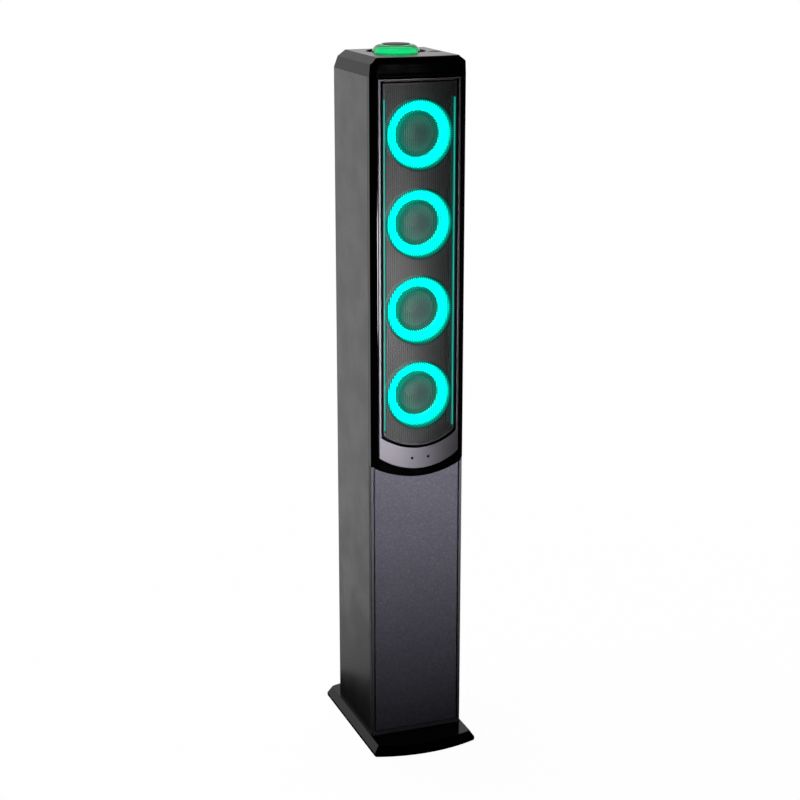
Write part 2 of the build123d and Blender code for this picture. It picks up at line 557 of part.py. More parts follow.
def make_rear():
    port = turned([(PORT_R, 0), (PORT_R + 1.0, 84), (PORT_R + 5.0, 90), (PORT_R + 9.0, 90),
                   (PORT_R + 9.0, 88.5), (PORT_R + PORT_WALL, 88.5), (PORT_R + PORT_WALL, 0)])
    keep("bass_port", Pos(0, HALF_D - 88.5, PORT_Z) * Rot(-90, 0, 0) * port)

    plate = block(-PLATE_HALF_X, PLATE_HALF_X, HALF_D, PLATE_BACK, PLATE_BOTTOM, PLATE_TOP)
    plate = fillet(plate.edges().filter_by(Axis.Y), 3.0)
    plate -= block(SWITCH_X - 9.5, SWITCH_X + 9.5, 0, FAR, SWITCH_Z - 7.0, SWITCH_Z + 7.0)
    plate -= block(INLET_X - 11, INLET_X + 11, 0, FAR, INLET_Z - 6.5, INLET_Z + 6.5)
    plate -= rod(MIC_X, JACK_Z, 0, FAR, 5.0)
    plate -= rod(AUX_X, JACK_Z, 0, FAR, 3.5)
    plate -= block(USB_X - 7.0, USB_X + 7.0, 0, FAR, JACK_Z - 3.5, JACK_Z + 3.5)
    fasteners = []
    for x, z in PLATE_SCREWS:
        plate -= rod(x, z, 0, FAR, 1.5)
        fasteners.append(Pos(x, PLATE_BACK, z) * Rot(-90, 0, 0) * screw(2.8, 1.7, 1.5, 9.0))
    keep("connection_plate", plate)
    keep("plate_screws", *fasteners)

    housing = block(SWITCH_X - 11, SWITCH_X + 11, PLATE_BACK, PLATE_BACK + 1.6,
                    SWITCH_Z - 8.5, SWITCH_Z + 8.5)
    housing = fillet(housing.edges().filter_by(Axis.Y), 1.5)
    housing += block(SWITCH_X - 9.5, SWITCH_X + 9.5, PLATE_BACK - 16, PLATE_BACK,
                     SWITCH_Z - 7.0, SWITCH_Z + 7.0)
    housing -= block(SWITCH_X - 7.9, SWITCH_X + 7.9, PLATE_BACK - 9, FAR,
                     SWITCH_Z - 6.2, SWITCH_Z + 6.2)
    keep("switch_housing", housing)

    # The rocker's pivot lies on its own line along X, and the rocker rests tipped to off.
    face_y = PLATE_BACK + 2.2
    rocker = [(-4.5, -5.6), (face_y + 1.6 - PLATE_BACK, -5.6), (face_y - PLATE_BACK, 0),
              (face_y + 1.6 - PLATE_BACK, 5.6), (-4.5, 5.6)]
    rocker = widen(make_face(Polyline(*rocker, close=True)), 7.5)
    rocker = Pos(SWITCH_X, PLATE_BACK, SWITCH_Z) * Rot(ROCKER_TILT, 0, 0) * rocker
    keep("power_switch", rocker)

    inlet = block(INLET_X - 14, INLET_X + 14, PLATE_BACK, PLATE_BACK + 1.6,
                  INLET_Z - 8.5, INLET_Z + 8.5)
    inlet = fillet(inlet.edges().filter_by(Axis.Y), 2.0)
    inlet += block(INLET_X - 11, INLET_X + 11, PLATE_BACK - 15, PLATE_BACK,
                   INLET_Z - 6.5, INLET_Z + 6.5)
    inlet -= capsule(INLET_X, INLET_Z, 8.6, 4.4, PLATE_BACK - 12.5, FAR)
    pins = [rod(INLET_X + sign * 4.3, INLET_Z, PLATE_BACK - 12.5, PLATE_BACK - 2.5, 1.2)
            for sign in (-1, 1)]
    keep("mains_inlet", inlet)
    keep("mains_pins", *pins)

    mic = rod(MIC_X, JACK_Z, PLATE_BACK - 20, PLATE_BACK, 5.0)
    mic += rod(MIC_X, JACK_Z, PLATE_BACK, PLATE_BACK + 2.5, 6.5)
    mic -= rod(MIC_X, JACK_Z, PLATE_BACK - 19, FAR, 3.25)
    aux = rod(AUX_X, JACK_Z, PLATE_BACK - 12, PLATE_BACK, 3.5)
    aux += rod(AUX_X, JACK_Z, PLATE_BACK, PLATE_BACK + 1.5, 4.6)
    aux -= rod(AUX_X, JACK_Z, PLATE_BACK - 11, FAR, 1.85)
    usb = block(USB_X - 7.0, USB_X + 7.0, PLATE_BACK - 13, PLATE_BACK + 0.6,
                JACK_Z - 3.5, JACK_Z + 3.5)
    usb -= block(USB_X - 6.1, USB_X + 6.1, PLATE_BACK - 11, FAR, JACK_Z - 2.4, JACK_Z + 2.4)
    keep("input_jacks", mic, aux, usb)


# ---- electronics ----
def make_electronics():
    board_y = 44.0
    amp = block(-34, 34, board_y, board_y + BOARD_SHEET, 78, 172)
    for x, z, r, h in ((-24, 150, 6.3, 20), (-8, 150, 6.3, 20), (-24, 130, 5, 12), (-8, 130, 5, 12)):
        amp += rod(x, z, board_y - h, board_y, r)
    amp += block(8, 28, board_y - 5, board_y, 140, 160)
    sink = block(4, 32, board_y - 8, board_y - 5, 136, 164)
    for i in range(7):
        x = 4 + i * 4.2
        sink += block(x, x + 1.6, board_y - 24, board_y - 8, 136, 164)
    stand_offs = [(sx * 31, z) for sx in (-1, 1) for z in (82, 168)]
    for x, z in stand_offs:
        amp += rod(x, z, board_y + BOARD_SHEET, HALF_D, 3.0)
    keep("amplifier_board", amp)
    keep("heat_sink", sink)

    floor = BASE_TOP + BOARD
    supply = block(-40, 40, -42, 28, floor + 6, floor + 6 + BOARD_SHEET)
    top = floor + 6 + BOARD_SHEET
    supply += block(-30, -2, -30, -2, top, top + 24)
    for x, y, r, h in ((18, -24, 9, 30), (18, 0, 6.3, 20), (32, 0, 5, 14)):
        supply += disc(x, y, top, top + h, r)
    supply += block(-36, -10, 8, 22, top, top + 16)
    for x, y in ((-36, -38), (36, -38), (-36, 24), (36, 24)):
        supply += disc(x, y, floor, floor + 6, 3.0)
    keep("power_supply_board", supply)

    keep("wiring_loom", disc(LOOM_X, INNER_BACK_Y - LOOM_R, 190, SEAM_Z - 1, LOOM_R))


def main():
    make_base()
    make_cabinet()
    make_upper_front()
    make_lower_front()
    make_lights()
    make_drivers()
    make_top()
    make_rear()
    make_electronics()
    os.makedirs("parts", exist_ok=True)
    for name, node in nodes.items():
        export_step(node, f"parts/{name}.step")
    print(len(nodes), "nodes")


main()
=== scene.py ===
import json
import math

import bpy
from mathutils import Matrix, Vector
from mathutils.geometry import delaunay_2d_cdt


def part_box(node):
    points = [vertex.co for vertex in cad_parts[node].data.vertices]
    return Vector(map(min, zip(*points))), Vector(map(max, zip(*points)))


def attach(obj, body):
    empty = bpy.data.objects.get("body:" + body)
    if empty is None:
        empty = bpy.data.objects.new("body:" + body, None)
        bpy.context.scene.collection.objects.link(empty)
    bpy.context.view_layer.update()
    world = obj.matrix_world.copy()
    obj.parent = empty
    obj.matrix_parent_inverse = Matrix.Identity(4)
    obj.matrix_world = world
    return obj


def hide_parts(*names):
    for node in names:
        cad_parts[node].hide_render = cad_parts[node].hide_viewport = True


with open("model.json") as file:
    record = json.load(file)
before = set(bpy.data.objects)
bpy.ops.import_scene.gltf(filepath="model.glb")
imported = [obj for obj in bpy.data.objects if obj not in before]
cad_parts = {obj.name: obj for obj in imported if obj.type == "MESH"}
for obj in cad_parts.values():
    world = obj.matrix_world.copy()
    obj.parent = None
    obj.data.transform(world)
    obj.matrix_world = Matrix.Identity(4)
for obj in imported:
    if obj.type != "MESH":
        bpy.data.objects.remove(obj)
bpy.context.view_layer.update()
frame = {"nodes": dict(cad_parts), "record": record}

MM = 0.001
ROOT = "cabinet"
DRIVERS = (1, 2, 3, 4)
RING_INNER = 31 * MM
RING_GLOW = 4.0
RING_MESH_GLOW = 0.22       # painted glow on the grille's mesh in front of a ring, standing for the ring's light
MESH_GLOW = (0.06, 0.19)    # and painted glow within it, from the middle of the driver to the ring


# ---------------------------------------------------------------- materials
class Look:
    """A material under construction: its node tree and its principled shader.

    The colour and roughness are even over the surface, until a pattern is linked in their place.
    """

    def __init__(self, name, colour, roughness, **sockets):
        self.material = bpy.data.materials.new(name)
        self.material.use_nodes = True
        self.tree = self.material.node_tree
        self.shader = self.tree.nodes["Principled BSDF"]
        self.place = None
        self.set("Base Color", (*colour, 1.0))
        self.set("Roughness", roughness)
        for socket, value in sockets.items():
            self.set(socket.replace("_", " "), value)

    def set(self, socket, value):
        """Gives one of the shader's sockets a constant, or links an output to it."""
        self.feed(self.shader.inputs[socket], value)

    def feed(self, socket, value):
        """Gives a socket a constant, or links an output to it."""
        if isinstance(value, bpy.types.NodeSocket):
            self.tree.links.new(value, socket)
        else:
            socket.default_value = value

    def add(self, kind, inputs=(), **settings):
        """A new node, with its settings, and its inputs given as constants or links."""
        made = self.tree.nodes.new("ShaderNode" + kind)
        for key, value in settings.items():
            setattr(made, key, value)
        for key, value in dict(inputs).items():
            self.feed(made.inputs[key], value)
        return made

    def position(self, stretch=(1, 1, 1)):
        """The place on the object, in metres, stretched along its axes."""
        if self.place is None:
            self.place = self.add("TexCoord").outputs["Object"]
        if stretch == (1, 1, 1):
            return self.place
        return self.add("Mapping", {"Vector": self.place, "Scale": stretch}).outputs[0]

    def noise(self, size, detail=2.0, stretch=(1, 1, 1), roughness=0.5):
        """Noise of a given grain size in metres."""
        inputs = {"Vector": self.position(stretch), "Scale": 1 / size, "Detail": detail,
                  "Roughness": roughness}
        return self.add("TexNoise", inputs).outputs["Fac"]

    def cells(self, size, feature, **inputs):
        """A distance within a scatter of points of a given spacing, by the kind of feature."""
        inputs.update(Vector=self.position(), Scale=1 / size)
        return self.add("TexVoronoi", inputs, feature=feature).outputs["Distance"]

    def math(self, operation, a, b=0.0):
        return self.add("Math", {0: a, 1: b}, operation=operation).outputs[0]

    def span(self, value, low, high, to_low=0.0, to_high=1.0):
        """Maps a value between two ends, smoothly and within them."""
        inputs = {"Value": value, "From Min": low, "From Max": high, "To Min": to_low,
                  "To Max": to_high}
        return self.add("MapRange", inputs, interpolation_type="SMOOTHSTEP").outputs[0]

    def blend(self, share, dark, light):
        """A colour between two, by a share from 0 to 1."""
        ends = [c if isinstance(c, bpy.types.NodeSocket) else (*c, 1.0) for c in (dark, light)]
        inputs = {"Fac": share, "Color1": ends[0], "Color2": ends[1]}
        return self.add("MixRGB", inputs).outputs[0]

    def bump(self, height, depth, strength=1.0):
        """Raises the surface by a height of 0 to 1 times a depth in metres."""
        inputs = {"Height": height, "Strength": strength, "Distance": depth}
        if self.shader.inputs["Normal"].is_linked:
            inputs["Normal"] = self.shader.inputs["Normal"].links[0].from_socket
        self.set("Normal", self.add("Bump", inputs).outputs[0])
        return self


def axis_of(look, axis):
    """One coordinate of the place on the object."""
    return look.add("SeparateXYZ", {0: look.position()}).outputs["XYZ".index(axis)]


def polished_black():
    look = Look("piano_black", (0.0004, 0.0004, 0.0005), 0.07, IOR=1.5)
    smears = look.noise(18 * MM, 4.0, roughness=0.6)
    look.set("Roughness", look.span(smears, 0.35, 0.75, 0.045, 0.11))
    return look.bump(look.noise(7 * MM, 1.0), 0.03 * MM, 0.25).material


def satin_black(name="satin_moulding", shade=0.006, roughness=0.34, grain=0.35, specular=0.5):
    look = Look(name, (shade, shade, shade * 1.08), roughness, Specular_IOR_Level=specular)
    blotch = look.noise(30 * MM, 3.0)
    look.set("Roughness", look.span(blotch, 0.3, 0.7, roughness - 0.03, roughness + 0.04))
    return look.bump(look.noise(grain * MM, 3.0, roughness=0.6), 0.02 * MM, 0.6).material


def vinyl():
    look = Look("black_vinyl_wrap", (0.045, 0.043, 0.047), 0.4, IOR=1.95, Specular_IOR_Level=0.65)
    grain = look.noise(2.2 * MM, 5.0, stretch=(6, 6, 0.25), roughness=0.65)
    look.set("Base Color", look.blend(look.span(grain, 0.3, 0.7),
                                      (0.024, 0.022, 0.025), (0.042, 0.039, 0.043)))
    look.set("Roughness", look.span(look.noise(45 * MM, 3.0), 0.3, 0.7, 0.27, 0.35))
    look.bump(grain, 0.05 * MM, 0.35)
    return look.bump(look.noise(0.35 * MM, 2.0), 0.02 * MM, 0.5).material


def leatherette():
    look = Look("pebbled_leather_cloth", (0.03, 0.03, 0.042), 0.46)
    pebbles = look.cells(1.6 * MM, "SMOOTH_F1", Smoothness=0.3)
    fine = look.noise(0.5 * MM, 3.0)
    blotches = look.noise(4.5 * MM, 3.0, roughness=0.7)
    height = look.math("SUBTRACT", look.math("MULTIPLY", fine, 0.35), pebbles)
    body = look.blend(look.span(pebbles, 0.25, 0.75), (0.185, 0.179, 0.241), (0.1, 0.098, 0.134))
    look.set("Base Color", look.blend(look.span(blotches, 0.35, 0.65), body,
                                      (0.112, 0.109, 0.152)))
    look.set("Roughness", look.span(look.noise(35 * MM, 3.0), 0.3, 0.7, 0.42, 0.52))
    return look.bump(height, 0.35 * MM, 0.9).bump(blotches, 0.3 * MM, 0.5).material


def trim_metal():
    look = Look("satin_gunmetal", (0.102, 0.097, 0.11), 0.42, Metallic=1.0)
    brushed = look.noise(3 * MM, 4.0, stretch=(0.3, 1, 9), roughness=0.7)
    look.set("Roughness", look.span(brushed, 0.3, 0.7, 0.37, 0.43))
    return look.bump(look.noise(0.4 * MM, 2.0), 0.01 * MM, 0.4).material


def powder_coat(name, colour, roughness):
    look = Look(name, colour, roughness)
    speck = look.noise(0.5 * MM, 3.0, roughness=0.7)
    look.set("Roughness", look.span(speck, 0.3, 0.7, roughness - 0.06, roughness + 0.06))
    return look.bump(speck, 0.03 * MM, 0.5).material


def ring_radius(look):
    """The distance from the axis of the nearest driver, seen from the front."""
    boxes = [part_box(f"ring_diffuser_{i}") for i in DRIVERS]
    middles = [(low.z + high.z) / 2 for low, high in boxes]
    pitch = middles[0] - middles[1]
    below = look.math("SUBTRACT", axis_of(look, "Z"), middles[0])
    nearest = look.math("ROUND", look.math("DIVIDE", below, pitch))
    nearest = look.math("MAXIMUM", look.math("MINIMUM", nearest, 0.0), 1.0 - len(DRIVERS))
    rise = look.math("SUBTRACT", below, look.math("MULTIPLY", nearest, pitch))
    flat = look.add("CombineXYZ", {"X": axis_of(look, "X"), "Z": rise}).outputs[0]
    return look.add("VectorMath", {0: flat}, operation="LENGTH").outputs["Value"]


def ring_outer():
    """The outer radius of a ring's diffuser."""
    low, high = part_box("ring_diffuser_1")
    return (high.x - low.x) / 2


def grille_coat_and_painted_glow():
    """Powder coat, with the rings' light painted as glow on the mesh round each of them, and the
    coat painted black there.
    """
    coat = (0.014, 0.014, 0.0145)
    look = Look("grille_coat_and_painted_glow", coat, 0.4)
    speck = look.noise(0.5 * MM, 3.0, roughness=0.7)
    look.set("Roughness", look.span(speck, 0.3, 0.7, 0.35, 0.45))
    look.bump(speck, 0.03 * MM, 0.5)
    radius = ring_radius(look)
    outer = ring_outer()
    # Painted glow: the rings' light on the mesh is given as emission, by the distance from each
    # ring's axis.
    beyond = look.span(radius, outer - 2.5 * MM, outer + 2.5 * MM, 1.0, 0.0)
    within = look.span(radius, RING_INNER - 1.5 * MM, RING_INNER + 2 * MM)
    centre = look.span(radius, 4 * MM, RING_INNER, *MESH_GLOW)
    look.set("Emission Color", (0.0, 1.0, 0.66, 1.0))
    strength = look.math("ADD", look.math("MULTIPLY", within, RING_MESH_GLOW), centre)
    look.set("Emission Strength", look.math("MULTIPLY", strength, beyond))
    # Painted shade: where the mesh carries the painted glow, its coat is turned black and metallic,
    # so its sheen is taken out.
    painted_black_share = look.math("MULTIPLY", look.span(radius, 16 * MM, RING_INNER, 0.25, 1.0),
                      look.span(radius, outer + 1 * MM, outer + 4 * MM, 1.0, 0.0))
    look.set("Base Color", look.blend(painted_black_share, coat, (0.0, 0.0, 0.0)))
    look.set("Metallic", painted_black_share)
    return look.material


def glow(name):
    """A lit diffuser, black but for its own light."""
    look = Look(name, (0, 0, 0), 0.5)
    look.set("Specular IOR Level", 0.0)
    look.set("Emission Strength", 1.0)
    return look


def ring_light():
    look = glow("lit_ring_diffuser")
    radius = ring_radius(look)
    outer = ring_outer()
    fade = look.math("MULTIPLY", look.span(radius, RING_INNER - 1 * MM, RING_INNER + 1.5 * MM),
                     look.span(radius, outer - 4.5 * MM, outer + 0.6 * MM, 1.0, 0.01))
    look.set("Emission Strength", look.math("MULTIPLY", fade, RING_GLOW))
    look.set("Emission Color", look.blend(look.noise(12 * MM, 2.0), (0.0, 0.95, 0.74),
                                          (0.0, 1.0, 0.84)))
    return look.material


def strip_light():
    """Bright on the front, and dim on the flanks that stand behind the grille."""
    look = glow("lit_strip")
    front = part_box("light_strip_left")[0].y
    facing = look.span(axis_of(look, "Y"), front + 0.5 * MM, front + 1.0 * MM, 1.0, 0.08)
    look.set("Emission Color", look.blend(look.noise(30 * MM, 1.0), (0.006, 0.5, 0.38),
                                          (0.012, 0.68, 0.54)))
    look.set("Emission Strength", facing)
    return look.material


def dial_light():
    look = glow("lit_dial_core")
    low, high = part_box("dial_light_core")
    rise = look.span(axis_of(look, "Z"), low.z, high.z)
    look.set("Emission Color", look.blend(rise, (0.0, 1.25, 0.6), (0.0, 0.85, 0.4)))
    return look.material


def frosted_clear():
    look = Look("frosted_clear_shell", (0.22, 0.72, 0.42), 0.08, IOR=1.42, Specular_IOR_Level=0.2)
    look.set("Transmission Weight", 1.0)
    # Painted glow: the collar under the disc is given the core's light as its own emission.
    low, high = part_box("dial_shell")
    middle = look.add("VectorMath", {0: look.position(), 1: (low + high) / 2},
                      operation="SUBTRACT").outputs[0]
    flat = look.add("VectorMath", {0: middle, 1: (1.0, 1.0, 0.0)}, operation="MULTIPLY")
    radius = look.add("VectorMath", {0: flat.outputs[0]}, operation="LENGTH").outputs["Value"]
    look.set("Emission Color", (0.0, 1.0, 0.27, 1.0))
    look.set("Emission Strength", look.span(radius, 21 * MM, 25 * MM, 0.05, 0.0))
    return look.bump(look.noise(0.8 * MM, 2.0), 0.01 * MM, 0.15).material


def smoked_lens():
    look = Look("smoked_lens", (0.001, 0.001, 0.0012), 0.3, Specular_IOR_Level=0.02)
    return look.bump(look.noise(0.3 * MM, 1.0), 0.01 * MM, 0.3).material


def spun_disc():
    look = Look("spun_disc", (0.11, 0.11, 0.115), 0.45)
    look.set("Specular IOR Level", 0.2)
    low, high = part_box("dial_button")
    offset = look.add("Mapping", {"Vector": look.position(), "Location": tuple(-(low + high) / 2)})
    radius = look.add("VectorMath", {0: offset.outputs[0]}, operation="LENGTH").outputs["Value"]
    rings = look.add("TexNoise", {"W": look.math("MULTIPLY", radius, 1 / (0.35 * MM)), "Scale": 1.0,
                                  "Detail": 2.0}, noise_dimensions="1D").outputs["Fac"]
    look.set("Roughness", look.span(rings, 0.3, 0.7, 0.4, 0.5))
    return look.bump(rings, 0.02 * MM, 0.5).material


def fibreboard(name, dark, light):
    look = Look(name, light, 0.75)
    fibres = look.noise(0.9 * MM, 5.0, roughness=0.8)
    look.set("Base Color", look.blend(look.span(fibres, 0.3, 0.7), dark, light))
    return look.bump(fibres, 0.06 * MM, 0.6).material


def rubber():
    look = Look("black_rubber", (0.012, 0.012, 0.012), 0.62)
    return look.bump(look.noise(0.5 * MM, 3.0), 0.04 * MM, 0.5).material


def cone_paper():
    look = Look("coated_cone", (0.09, 0.09, 0.09), 0.5)
    fibres = look.noise(0.6 * MM, 5.0, stretch=(1, 0.3, 1), roughness=0.75)
    look.set("Base Color", look.blend(fibres, (0.07, 0.07, 0.07), (0.13, 0.13, 0.13)))
    return look.bump(fibres, 0.05 * MM, 0.5).material


def spider_cloth():
    look = Look("resin_cloth", (0.45, 0.3, 0.1), 0.8)
    warp = look.add("TexWave", {"Vector": look.position(), "Scale": 1 / (3 * MM)},
                    bands_direction="X").outputs["Fac"]
    weft = look.add("TexWave", {"Vector": look.position(), "Scale": 1 / (3 * MM)},
                    bands_direction="Z").outputs["Fac"]
    weave = look.math("MULTIPLY", warp, weft)
    look.set("Base Color", look.blend(weave, (0.3, 0.19, 0.06), (0.5, 0.34, 0.13)))
    return look.bump(weave, 0.1 * MM, 0.6).material


def circuit_board():
    look = Look("solder_mask", (0.01, 0.09, 0.035), 0.35)
    tracks = look.cells(4 * MM, "DISTANCE_TO_EDGE")
    look.set("Base Color", look.blend(look.span(tracks, 0.04, 0.08),
                                      (0.03, 0.16, 0.07), (0.008, 0.07, 0.03)))
    return look.material


def metal(name, colour, roughness, size=0.6, stretch=(1, 1, 1)):
    look = Look(name, colour, roughness, Metallic=1.0)
    marks = look.noise(size * MM, 4.0, stretch=stretch, roughness=0.7)
    look.set("Roughness", look.span(marks, 0.3, 0.7, roughness - 0.07, roughness + 0.07))
    return look.bump(marks, 0.02 * MM, 0.4).material


def dress_cad_nodes():
    """Gives every CAD node its finish, by the record's slot for it."""
    looks = {
        "gloss_black": polished_black(),
        "satin_black": satin_black(),
        "plate_black": powder_coat("plate_coat", (0.02, 0.02, 0.021), 0.5),
        "vinyl_black": vinyl(),
        "leatherette": leatherette(),
        "mdf_black": fibreboard("painted_board", (0.006, 0.006, 0.006), (0.012, 0.012, 0.012)),
        "mdf": fibreboard("raw_board", (0.28, 0.19, 0.11), (0.42, 0.3, 0.19)),
        "trim_grey": trim_metal(),
        "grille_black": grille_coat_and_painted_glow(),
        "ring_light": ring_light(),
        "strip_light": strip_light(),
        "dial_green": dial_light(),
        "dial_clear": frosted_clear(),
        "disc_grey": spun_disc(),
        "rubber": rubber(),
        "cone_paper": cone_paper(),
        "spider_cloth": spider_cloth(),
        "basket_metal": powder_coat("basket_coat", (0.02, 0.02, 0.02), 0.5),
        "magnet": metal("ferrite", (0.08, 0.08, 0.085), 0.5),
        "pcb": circuit_board(),
        "heat_sink_metal": metal("extruded_aluminium", (0.6, 0.6, 0.62), 0.35, 2, (1, 1, 0.1)),
        "steel": metal("blacked_steel", (0.12, 0.12, 0.125), 0.35),
        "pin_brass": metal("plated_brass", (0.75, 0.62, 0.3), 0.25),
        "rocker_black": satin_black("rocker_moulding", 0.008, 0.3),
    }
    own = {
        "top_cap": satin_black("satin_cap", 0.001, 0.14, 0.5, 0.18),
        "base_plate": satin_black("satin_gloss_slab", 0.0006, 0.14, 0.5, 0.28),
        "lower_front_frame": satin_black("satin_frame", 0.11, 0.42, 0.5),
    }
    for part in frame["record"]["subparts"]:
        node = frame["nodes"][part["node"]]
        node.data.materials.clear()
        node.data.materials.append(own.get(part["node"], looks[part["material_slot"]]))
    return looks


# ---------------------------------------------------------------- meshes
def mesh_piece(name, verts, faces, look, body=ROOT, smooth=True):
    """A new mesh object with one material, riding on a body."""
    mesh = bpy.data.meshes.new(name)
    mesh.from_pydata([tuple(v) for v in verts], [], faces)
    mesh.validate()
    if smooth:
        mesh.shade_smooth()
    mesh.materials.append(look)
    piece = bpy.data.objects.new(name, mesh)
    bpy.context.scene.collection.objects.link(piece)
    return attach(piece, body)


# The grille: a crowned sheet with its rim folded back, staggered six-sided holes in upright columns,
# and a slot for each light strip.
HOLE_COLUMN, HOLE_PITCH = 2.9 * MM, 2.9 * MM
HOLE_HALF_WIDTH, HOLE_HALF_HEIGHT = 1.0 * MM, 1.25 * MM
COLUMN_COUNT = 34
GRILLE_BORDER = 2.2 * MM
SHEET = 0.8 * MM
SLOT_HALF_WIDTH = 1.1 * MM
EDGE_STEP, SLOT_STEP = 2.5 * MM, 6.0 * MM
CROWN = 5.0 * MM            # how far the sheet's middle stands out from its sides
SAG = 18.0 * MM             # how far its lower edge hangs in the middle
CORNER = 2.0 * MM
ROLL = 1.6 * MM             # how wide and deep the roll round the edge is
ROLL_ROWS = ((0.3, 0.12), (0.7, 0.5), (1.0, 1.3))       # shares of it, outwards and back


def along(start, end, step=EDGE_STEP):
    """Points from start up to, and not including, end."""
    start, end = Vector(start), Vector(end)
    count = max(1, round((end - start).length / step))
    return [start.lerp(end, i / count) for i in range(count)]


def grille_outline(low, high, sag, corner):
    """The sheet's edge as seen from the front, with a hanging arc and rounded corners."""
    half_x = high.x
    chord_z = low.z + sag
    radius = (half_x ** 2 + sag ** 2) / (2 * sag)
    top = high.z
    points = along((-half_x, chord_z + corner), (-half_x, top - corner))
    for centre_x, first in ((-half_x + corner, 180), (half_x - corner, 90)):
        for turn in range(0, 90, 18):
            angle = math.radians(first - turn)
            points.append(Vector((centre_x + corner * math.cos(angle),
                                  top - corner + corner * math.sin(angle))))
        if first == 180:
            points += along((-half_x + corner, top), (half_x - corner, top))
    points += along((half_x, top - corner), (half_x, chord_z + corner))
    points.append(Vector((half_x, chord_z + corner)))
    arc_end = math.asin((half_x - corner * 0.8) / radius)
    count = round(2 * radius * arc_end / EDGE_STEP)
    for i in range(count + 1):
        angle = arc_end - 2 * arc_end * i / count
        points.append(Vector((radius * math.sin(angle),
                              low.z + radius * (1 - math.cos(angle)))))
    return points


def inset(loop, distance):
    """A closed loop of points moved inwards; the loop runs clockwise as seen from the front."""
    moved = []
    for i, point in enumerate(loop):
        before, after = loop[i - 1], loop[(i + 1) % len(loop)]
        run = (after - before).normalized()
        moved.append(point + Vector((run.y, -run.x)) * distance)
    return moved


def make_grille(look):
    low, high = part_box("grille")
    radius = (high.x ** 2 + CROWN ** 2) / (2 * CROWN)

    def front(x):
        return low.y + radius - math.sqrt(radius ** 2 - x ** 2)

    rim = grille_outline(low, high, SAG, CORNER)
    edge = inset(rim, ROLL)
    holes = []
    strip_low, strip_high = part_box("light_strip_right")
    strip_x = (strip_low.x + strip_high.x) / 2
    for side in (-1, 1):
        slot = []
        for centre_z, first in ((strip_low.z, 180), (strip_high.z, 0)):
            for turn in range(0, 181, 30):
                angle = math.radians(first + turn)
                slot.append(Vector((side * strip_x + SLOT_HALF_WIDTH * math.cos(angle),
                                    centre_z + SLOT_HALF_WIDTH * math.sin(angle))))
            if first == 180:
                rising = along((slot[-1].x, strip_low.z), (slot[-1].x, strip_high.z), SLOT_STEP)
                slot += rising[1:]
        falling = along(slot[-1], slot[0], SLOT_STEP)
        holes.append(slot + falling[1:])
    arc_radius = (high.x ** 2 + SAG ** 2) / (2 * SAG)
    for column in range(COLUMN_COUNT):
        x = (column - (COLUMN_COUNT - 1) / 2) * HOLE_COLUMN
        floor = low.z + arc_radius - math.sqrt(arc_radius ** 2 - x ** 2) + GRILLE_BORDER
        middle = (low.z + high.z) / 2
        reach = math.ceil((high.z - low.z) / HOLE_PITCH / 2) + 1
        for row in range(-reach, reach + 1):
            z = middle + (row + 0.5 * (column % 2)) * HOLE_PITCH
            if floor < z - HOLE_HALF_HEIGHT and z + HOLE_HALF_HEIGHT < high.z - GRILLE_BORDER:
                shoulder = HOLE_HALF_HEIGHT - HOLE_HALF_WIDTH * 0.6
                holes.append([Vector((x + across * HOLE_HALF_WIDTH, z + up))
                              for across, up in ((1, shoulder), (0, HOLE_HALF_HEIGHT),
                                                 (-1, shoulder), (-1, -shoulder),
                                                 (0, -HOLE_HALF_HEIGHT), (1, -shoulder))])

    flat, edges, owner = [], [], []
    for index, loop in enumerate([edge] + holes):
        first = len(flat)
        flat += loop
        owner += [index] * len(loop)
        edges += [(first + i, first + (i + 1) % len(loop)) for i in range(len(loop))]
    points, _, triangles, found, _, _ = delaunay_2d_cdt(flat, edges, [], 0, 1e-7)
    hole_of = [owner[f[0]] if f else -1 for f in found]
    web = [t for t in triangles
           if not (hole_of[t[0]] > 0 and hole_of[t[0]] == hole_of[t[1]] == hole_of[t[2]])]

    verts = [Vector((p.x, front(p.x), p.y)) for p in points]
    count = len(verts)
    verts += [v + Vector((0, SHEET, 0)) for v in verts]
    faces = []
    for a, b, c in web:
        faces += [(a, b, c), (a + count, c + count, b + count)]
    index_of = {f[0]: i for i, f in enumerate(found) if f}
    first = len(edge)
    for loop in holes:
        ids = [index_of[first + i] for i in range(len(loop))]
        first += len(loop)
        for i, a in enumerate(ids):
            b = ids[(i + 1) % len(ids)]
            faces.append((a, b, b + count, a + count))
    # The rim: a small roll at the front, and a skirt folded back to the CAD rim's depth.
    outer_front = [index_of[i] for i in range(len(edge))]
    rows = [outer_front]
    for share_out, share_back in ROLL_ROWS:
        rows.append(list(range(len(verts), len(verts) + len(rim))))
        for at_edge, at_rim in zip(edge, rim):
            p = at_edge.lerp(at_rim, share_out)
            verts.append(Vector((p.x, front(p.x) + ROLL * share_back, p.y)))
    skirt_back = high.y
    inner = inset(rim, SHEET)
    rows.append(list(range(len(verts), len(verts) + len(rim))))
    verts += [Vector((p.x, skirt_back, p.y)) for p in rim]
    rows.append(list(range(len(verts), len(verts) + len(rim))))
    verts += [Vector((p.x, skirt_back, p.y)) for p in inner]
    rows.append([i + count for i in outer_front])
    for row, following in zip(rows, rows[1:]):
        for i in range(len(rim)):
            j = (i + 1) % len(rim)
            faces.append((row[i], row[j], following[j], following[i]))
    piece = mesh_piece("perforated_grille", verts, faces, look, smooth=False)
    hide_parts("grille")
    return piece


CHIN_HOLE_X, CHIN_HOLE_Z = 12.0 * MM, 436.4 * MM
LENS_ROWS = ((0.0, -0.55), (1.1, -0.5), (1.9, -0.3), (1.9, 0.5))    # radius and depth, in mm
LENS_SIDES = 20


